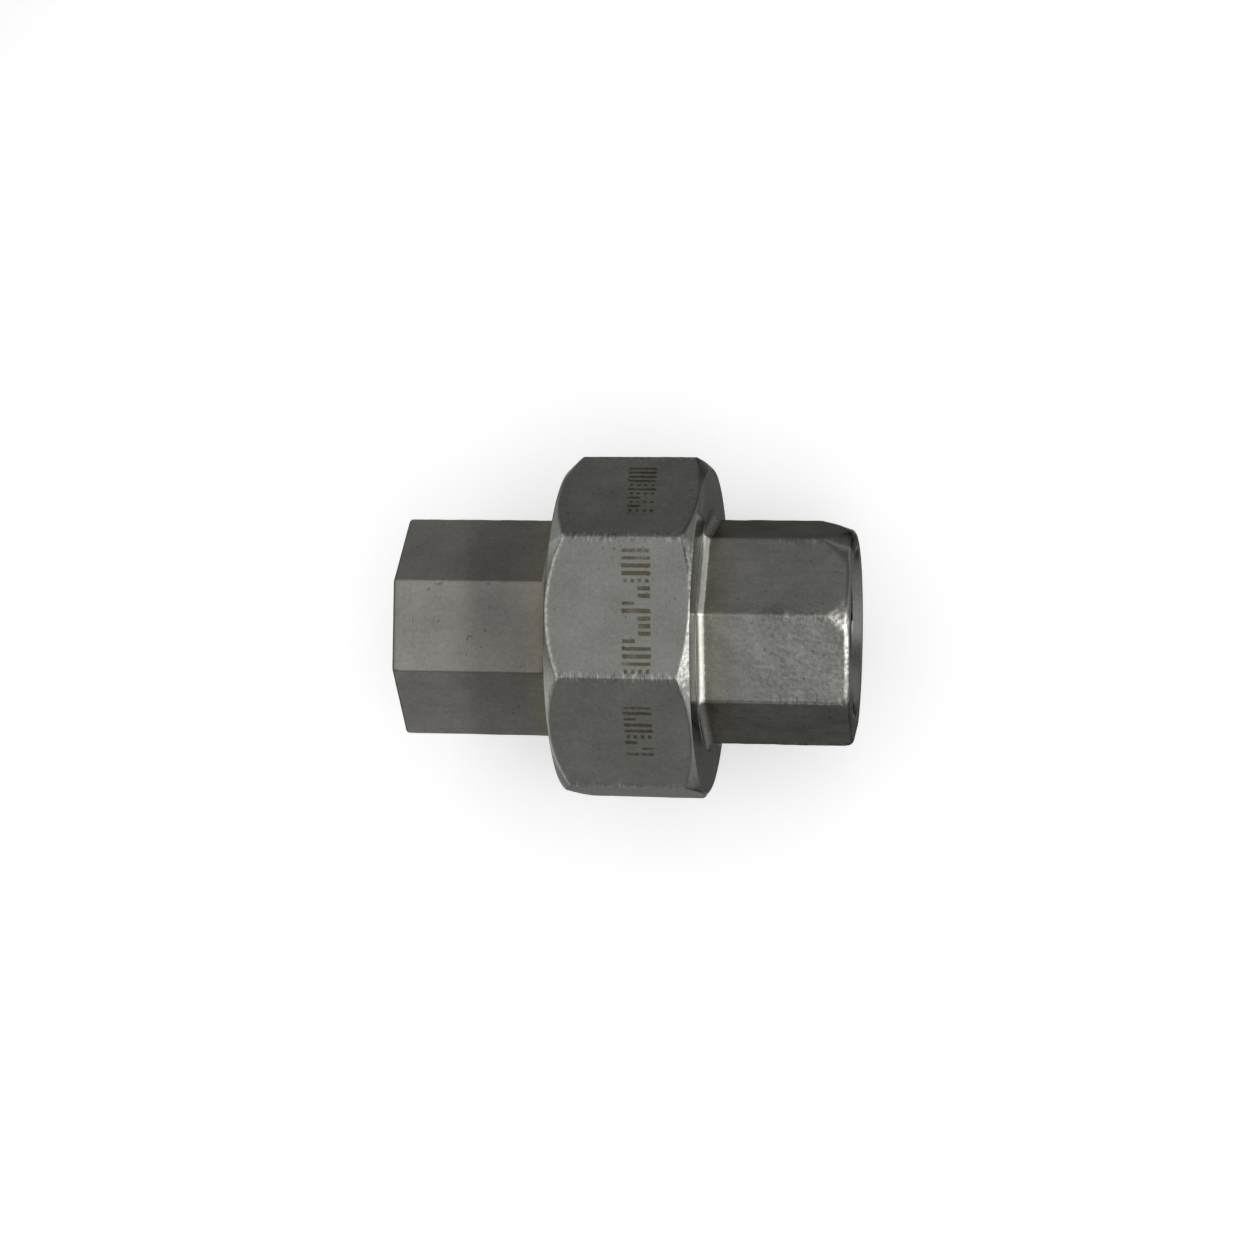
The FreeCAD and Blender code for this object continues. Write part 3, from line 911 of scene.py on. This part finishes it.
def etchedMarks(tree, settings, rough):
    # Rows of plain bars and dots on the nut's flats. Each cell across the flat holds one bar; a
    # random number of the cell makes it full, halved to one side, or a line of dots.
    raggedAcross, raggedAlong = settings["ragged"]
    soft = settings["softness"]
    across = plus(tree, field(tree, "across"), spread(tree, rough, raggedAcross))
    along = plus(tree, field(tree, "along"), spread(tree, rough, raggedAlong))
    marked = field(tree, "marked")
    cell = calculate(tree, "DIVIDE", across, settings["pitch"])
    number = plus(tree, calculate(tree, "FLOOR", cell), times(tree, marked, settings["rowShift"]))
    chance = addNode(tree, "ShaderNodeTexWhiteNoise", {"W": number}, noise_dimensions="1D").outputs["Value"]
    least, more, shuffling = settings["halfWidth"]
    secondChance = calculate(tree, "FRACT", times(tree, chance, shuffling))
    halfWidth = plus(tree, least, times(tree, secondChance, more))
    bar = ramp(tree, minus(tree, fromCellMiddle(tree, cell), halfWidth), -soft, soft, 1.0, 0.0)
    begin, change, end = settings["halved"]
    isHalved = calculate(tree, "GREATER_THAN", chance, begin)
    isHalved = times(tree, isHalved, calculate(tree, "LESS_THAN", chance, end))
    side = minus(tree, times(tree, calculate(tree, "GREATER_THAN", chance, change), 2.0), 1.0)
    shifted = minus(tree, along, times(tree, isHalved, side, settings["halfShift"]))
    reach = minus(tree, settings["halfLength"], times(tree, isHalved, settings["halfLess"]))
    beyond = minus(tree, calculate(tree, "ABSOLUTE", shifted), reach)
    within = ramp(tree, beyond, -soft, soft, 1.0, 0.0)
    beads = fromCellMiddle(tree, calculate(tree, "DIVIDE", along, settings["dotPitch"]))
    gaps = ramp(tree, beads, *settings["dotEdge"])
    isDotted = calculate(tree, "GREATER_THAN", chance, settings["dotted"])
    dots = minus(tree, 1.0, times(tree, isDotted, gaps))
    return times(tree, bar, within, dots, calculate(tree, "GREATER_THAN", marked, 0.5))


steelSettings = {
    # Noises: size in millimetres, detail and roughness
    "fine": (0.2, 2.0, 0.6),
    "grit": (0.42, 1.0, 0.5),
    "coarse": (0.9, 3.0, 0.55),
    "cloud": (4.2, 2.0, 0.5),
    "lines": (0.45, 2.0, 0.5),
    "ticks": (0.36, 1.0, 0.5),
    "rings": (0.14, 2.0, 0.5),
    "pits": (0.62, 1.0, 0.5),
    "lineStretch": (0.09, 1, 1),  # the faint lines run along the axis
    "tickStretch": (1, 0.3, 0.3),  # the nicks cross the long edges
    "nickReach": (0.15, 0.95),  # millimetres from a long edge where the nicks fade
    # Colour: how much the brightness changes with each of them
    "fineGain": 0.34,
    "cloudGain": 0.45,
    "ringGain": 0.4,
    "gritGain": 0.22,
    "brightNick": 1.45,
    "darkNick": 0.75,
    "pitTone": 0.7,
    "polishRagged": 0.75,
    "polishGain": 1.5,  # turned cones and fillets are this much paler than the cast skin, partly as a painted highlight towards the light
    "rimHighlightGain": 1.1,  # and so are the edges between them and the flats, a painted highlight on the lit or upward side
    # Gloss
    "castRoughness": 0.40,
    "machinedRoughness": 0.25,
    "fineRoughness": 0.12,
    "dullGain": 0.35,  # how much rougher the faces without sheen are
    # Relief
    "grainDepth": 0.02,  # millimetres
    "fineRelief": 0.5,
    "gritRelief": 0.6,
    "coarseRelief": 0.8,
    "machinedRelief": 0.15,  # share of the grain that a turned face keeps
    "ringRelief": 0.5,
    "nickRelief": 1.5,
}


def castSteel(name, finish, steel, etch=None):
    # Cast stainless steel. Its colour is tint * (1 + grains, clouds and faint lines along the
    # axis), paler on turned cones, fillets and edges, partly as painted highlights towards the light,
    # darker in pits and nicks.
    material = bpy.data.materials.new(name)
    material.use_nodes = True
    tree = material.node_tree
    shader = tree.nodes["Principled BSDF"]
    place = addNode(tree, "ShaderNodeTexCoord", {}).outputs["Object"]
    lengthwise = vectorMath(tree, "MULTIPLY", place, steel["lineStretch"]).outputs[0]
    crosswise = vectorMath(tree, "MULTIPLY", place, steel["tickStretch"]).outputs[0]
    machined = field(tree, "machined")
    speckle = field(tree, "speckle")
    cast = calculate(tree, "SUBTRACT", 1.0, machined, clamp=True)
    fine = noise(tree, place, *steel["fine"])
    grit = noise(tree, place, *steel["grit"])
    coarse = noise(tree, place, *steel["coarse"])
    cloud = noise(tree, place, *steel["cloud"])
    lines = noise(tree, lengthwise, *steel["lines"])
    ticks = noise(tree, crosswise, *steel["ticks"])
    # Tool rings: noise of the place along the pipe axis and the distance from it
    centred = vectorMath(tree, "SUBTRACT", place, (0, 0, axisHeight * millimetre)).outputs[0]
    sideways = vectorMath(tree, "MULTIPLY", centred, (0, 1, 1)).outputs[0]
    fromAxis = vectorMath(tree, "LENGTH", sideways).outputs["Value"]
    alongAxis = addNode(tree, "ShaderNodeSeparateXYZ", {0: place}).outputs["X"]
    ringPlace = addNode(tree, "ShaderNodeCombineXYZ", {0: alongAxis, 1: fromAxis}).outputs[0]
    rings = spread(tree, noise(tree, ringPlace, *steel["rings"]), machined)
    # Sparse pits, nicks across the long edges, and painted highlights on turned faces, fillets and edges,
    # ragged like wear
    pits = times(tree, ramp(tree, noise(tree, place, *steel["pits"]), 0.71, 0.77), cast)
    nickStart, nickEnd = steel["nickReach"]
    byEdge = ramp(tree, field(tree, "edge"), nickStart, nickEnd, 1.0, 0.0)
    nearEdge = times(tree, byEdge, cast, field(tree, "nicks"))
    brightNicks = times(tree, ramp(tree, ticks, 0.54, 0.64), nearEdge)
    darkNicks = times(tree, ramp(tree, ticks, 0.36, 0.44, 1.0, 0.0), nearEdge)
    polished = field(tree, "polishAndHighlight")
    ragged = plus(tree, polished, spread(tree, grit, steel["polishRagged"]))
    polishAndHighlight = times(tree, ramp(tree, ragged, 0.28, 0.72), ramp(tree, polished, 0.0, 0.3))
    rim = times(tree, field(tree, "rim"), ramp(tree, grit, 0.3, 0.6, 0.35, 1.0))
    # Colour
    brightness = plus(
        tree, 1.0,
        spread(tree, fine, steel["fineGain"]),
        spread(tree, cloud, steel["cloudGain"]),
        times(tree, rings, steel["ringGain"]),
        spread(tree, lines, finish["lineStrength"]),
        spread(tree, grit, plus(tree, steel["gritGain"], speckle)),
    )
    brightness = times(
        tree, brightness, field(tree, "tone"),
        ramp(tree, brightNicks, 0.0, 1.0, 1.0, steel["brightNick"]),
        ramp(tree, darkNicks, 0.0, 1.0, 1.0, steel["darkNick"]),
        ramp(tree, pits, 0.0, 1.0, 1.0, steel["pitTone"]),
        plus(tree, 1.0, times(tree, polishAndHighlight, steel["polishGain"])),
        plus(tree, 1.0, times(tree, rim, steel["rimHighlightGain"])),
    )
    colour = mixColour(tree, 1.0, (*finish["tint"], 1), greyOf(tree, brightness), "MULTIPLY")
    if "stain" in finish:
        stained = times(tree, field(tree, "stain"), ramp(tree, coarse, 0.35, 0.65, 0.5, 1.0))
        colour = tinted(tree, stained, colour, finish["stainTint"])
    if etch:
        marks = times(tree, etchedMarks(tree, etch, fine), ramp(tree, coarse, 0.3, 0.5, 0.6, 1.0))
        colour = tinted(tree, marks, colour, etch["tint"])
    tree.links.new(colour, shader.inputs["Base Color"])
    # Gloss
    castGain = steel["castRoughness"] - steel["machinedRoughness"]
    roughness = plus(
        tree, steel["machinedRoughness"],
        times(tree, cast, castGain),
        spread(tree, fine, steel["fineRoughness"]),
    )
    plain = finish["sheen"]
    shader.inputs["Metallic"].default_value = 1.0
    shader.inputs["Specular Tint"].default_value = (plain, plain, plain, 1)
    if finish["sheenVaries"]:
        sheen = field(tree, "sheen")
        roughness = plus(tree, roughness, ramp(tree, sheen, 0.0, plain, steel["dullGain"], 0.0))
        tree.links.new(greyOf(tree, sheen), shader.inputs["Specular Tint"])
    tree.links.new(roughness, shader.inputs["Roughness"])
    # Grain, pits and nicks as relief
    relief = plus(
        tree,
        times(tree, fine, steel["fineRelief"]),
        times(tree, grit, plus(tree, steel["gritRelief"], speckle)),
        times(tree, coarse, steel["coarseRelief"]),
    )
    kept = steel["machinedRelief"]
    relief = times(tree, relief, plus(tree, kept, times(tree, cast, 1 - kept)))
    relief = plus(tree, relief, times(tree, rings, steel["ringRelief"]))
    relief = minus(tree, minus(tree, relief, pits), times(tree, darkNicks, steel["nickRelief"]))
    depth = steel["grainDepth"] * millimetre
    bump = addNode(tree, "ShaderNodeBump", {"Height": relief, "Distance": depth, "Strength": 1.0})
    tree.links.new(bump.outputs[0], shader.inputs["Normal"])
    return material


bodySteel = castSteel("steel_body", bodySettings, steelSettings)
nutSteel = castSteel("steel_nut", nutSettings, steelSettings, etching)
tailSteel = castSteel("steel_tail", tailSettings, steelSettings)
pieces = {
    "body": ("threaded_body", makeBody(bodySettings), bodySteel),
    "nut": ("union_nut", makeNut(nutSettings), nutSteel),
    "tail": ("tail_piece", makeTail(tailSettings), tailSteel),
}
for bodyName, (node, piece, steel) in pieces.items():
    piece.data.materials.append(steel)
    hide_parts(node)
    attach(piece, bodyName)
print("pieces made")

studio = {
    "floorRadius": 0.7,
    "floorTone": (0.86, 0.86, 0.86),
    "farTone": (0.38, 0.38, 0.38),
    "floorGlow": 0.42,  # added to what the camera and the metal see of the floor
    "paleReach": 0.075,  # the floor is pale up to here and grey from farReach on
    "farReach": 0.23,
    "worldStart": 0.4,  # the sky is darkest up to this height, of 1
    "worldLow": 0.39,
    "worldHigh": 1.0,
    "worldSide": -0.03,  # the side towards +Y is darker
    # Soft panels: place, aim, width, height, radiance, and whether they light the floor
    "panels": {
        "right_panel": ((0.078, -0.037, 0.068), (0, -0.037, 0.068), 0.105, 0.086, 2.2, False),
        "low_panel": ((0.078, -0.022, 0.013), (0, -0.022, 0.013), 0.054, 0.022, 1.2, False),
        "left_panel": ((-0.2, 0.03, 0.12), (0, 0, 0.02), 0.15, 0.12, 0.8, False),
        "top_panel": ((0.15, -0.2, 0.5), (0, 0, 0), 0.3, 0.3, 1.2, True),
    },
}


def seenStraight(tree):
    # 1 for camera, glossy and transmission rays
    path = addNode(tree, "ShaderNodeLightPath", {})
    seen = calculate(tree, "MAXIMUM", path.outputs["Is Camera Ray"], path.outputs["Is Glossy Ray"])
    return calculate(tree, "MAXIMUM", seen, path.outputs["Is Transmission Ray"])


def makeFloor(settings):
    # A flat disc: (radius cos angle, radius sin angle, 0)
    angle = np.linspace(0, 2 * math.pi, 128, endpoint=False)
    rim = np.stack([np.cos(angle), np.sin(angle), np.zeros_like(angle)], 1) * settings["floorRadius"]
    mesh = bpy.data.meshes.new("floor")
    mesh.from_pydata(rim.tolist(), [], [list(range(len(rim)))])
    floor = bpy.data.objects.new("floor", mesh)
    bpy.context.scene.collection.objects.link(floor)
    material = bpy.data.materials.new("floor_paper")
    material.use_nodes = True
    tree = material.node_tree
    shader = tree.nodes["Principled BSDF"]
    place = addNode(tree, "ShaderNodeTexCoord", {}).outputs["Object"]
    distance = vectorMath(tree, "LENGTH", place).outputs["Value"]
    far = ramp(tree, distance, settings["paleReach"], settings["farReach"])
    colour = mixColour(tree, far, (*settings["floorTone"], 1), (*settings["farTone"], 1))
    tree.links.new(colour, shader.inputs["Base Color"])
    shader.inputs["Roughness"].default_value = 1.0
    shader.inputs["Specular IOR Level"].default_value = 0.0
    shader.inputs["Emission Color"].default_value = (1, 1, 1, 1)
    glow = times(tree, minus(tree, 1.0, far), settings["floorGlow"])
    tree.links.new(times(tree, seenStraight(tree), glow), shader.inputs["Emission Strength"])
    mesh.materials.append(material)


def makeWorld(settings):
    # Strength by direction: a smooth step of its height, less on the side towards +Y
    world = bpy.data.worlds.new("studio")
    bpy.context.scene.world = world
    world.use_nodes = True
    tree = world.node_tree
    direction = addNode(tree, "ShaderNodeTexCoord", {}).outputs["Generated"]
    split = addNode(tree, "ShaderNodeSeparateXYZ", {0: direction})
    low, high = settings["worldLow"], settings["worldHigh"]
    strength = ramp(tree, split.outputs["Z"], settings["worldStart"], 1.0, low, high)
    strength = plus(tree, strength, times(tree, split.outputs["Y"], settings["worldSide"]))
    tree.links.new(strength, tree.nodes["Background"].inputs["Strength"])
    tree.nodes["Background"].inputs["Color"].default_value = (1, 1, 1, 1)


def makeLamp(name, place, aim, size, sizeY, radiance, onFloor):
    # A soft panel at place that faces aim. Its power is radiance times pi times its area.
    light = bpy.data.lights.new(name, "AREA")
    light.shape = "RECTANGLE"
    light.size = size
    light.size_y = sizeY
    light.energy = radiance * math.pi * size * sizeY
    lamp = bpy.data.objects.new(name, light)
    lamp.rotation_euler = (Vector(aim) - Vector(place)).to_track_quat("-Z", "Y").to_euler()
    lamp.location = place
    lamp.visible_camera = False
    lamp.visible_diffuse = onFloor
    bpy.context.scene.collection.objects.link(lamp)


makeFloor(studio)
makeWorld(studio)
for name, panel in studio["panels"].items():
    makeLamp(name, *panel)
print("floor and lights made")

# Viewing angle of the photograph, and where its middle looks on the object
view = {
    "place": (40.85, -34.43, 278.86),
    "yaw": math.radians(9.068),
    "pitch": math.radians(-7.493),
    "roll": math.radians(2.017),
    "focalPixels": 2591.6,
    "imagePixels": 1250,
    "sensor": 36.0,
    "clipStart": 0.01,
}


def makeCamera(settings):
    # It looks along minus (sin yaw cos pitch, sin pitch, cos yaw cos pitch), rolled about that
    yaw, pitch, roll = settings["yaw"], settings["pitch"], settings["roll"]
    back = Vector((math.sin(yaw) * math.cos(pitch), math.sin(pitch), math.cos(yaw) * math.cos(pitch)))
    level = Vector((math.cos(yaw), 0, -math.sin(yaw)))
    upward = back.cross(level)
    right = math.cos(roll) * level + math.sin(roll) * upward
    up = back.cross(right)
    data = bpy.data.cameras.new("camera")
    data.sensor_width = settings["sensor"]
    data.lens = settings["sensor"] * settings["focalPixels"] / settings["imagePixels"]
    data.clip_start = settings["clipStart"]
    camera = bpy.data.objects.new("camera", data)
    turn = Matrix((right, up, back)).transposed().to_4x4()
    camera.matrix_world = Matrix.Translation(Vector(settings["place"]) * millimetre) @ turn
    bpy.context.scene.collection.objects.link(camera)
    bpy.context.scene.camera = camera


makeCamera(view)
bpy.context.scene.view_settings.view_transform = "Standard"
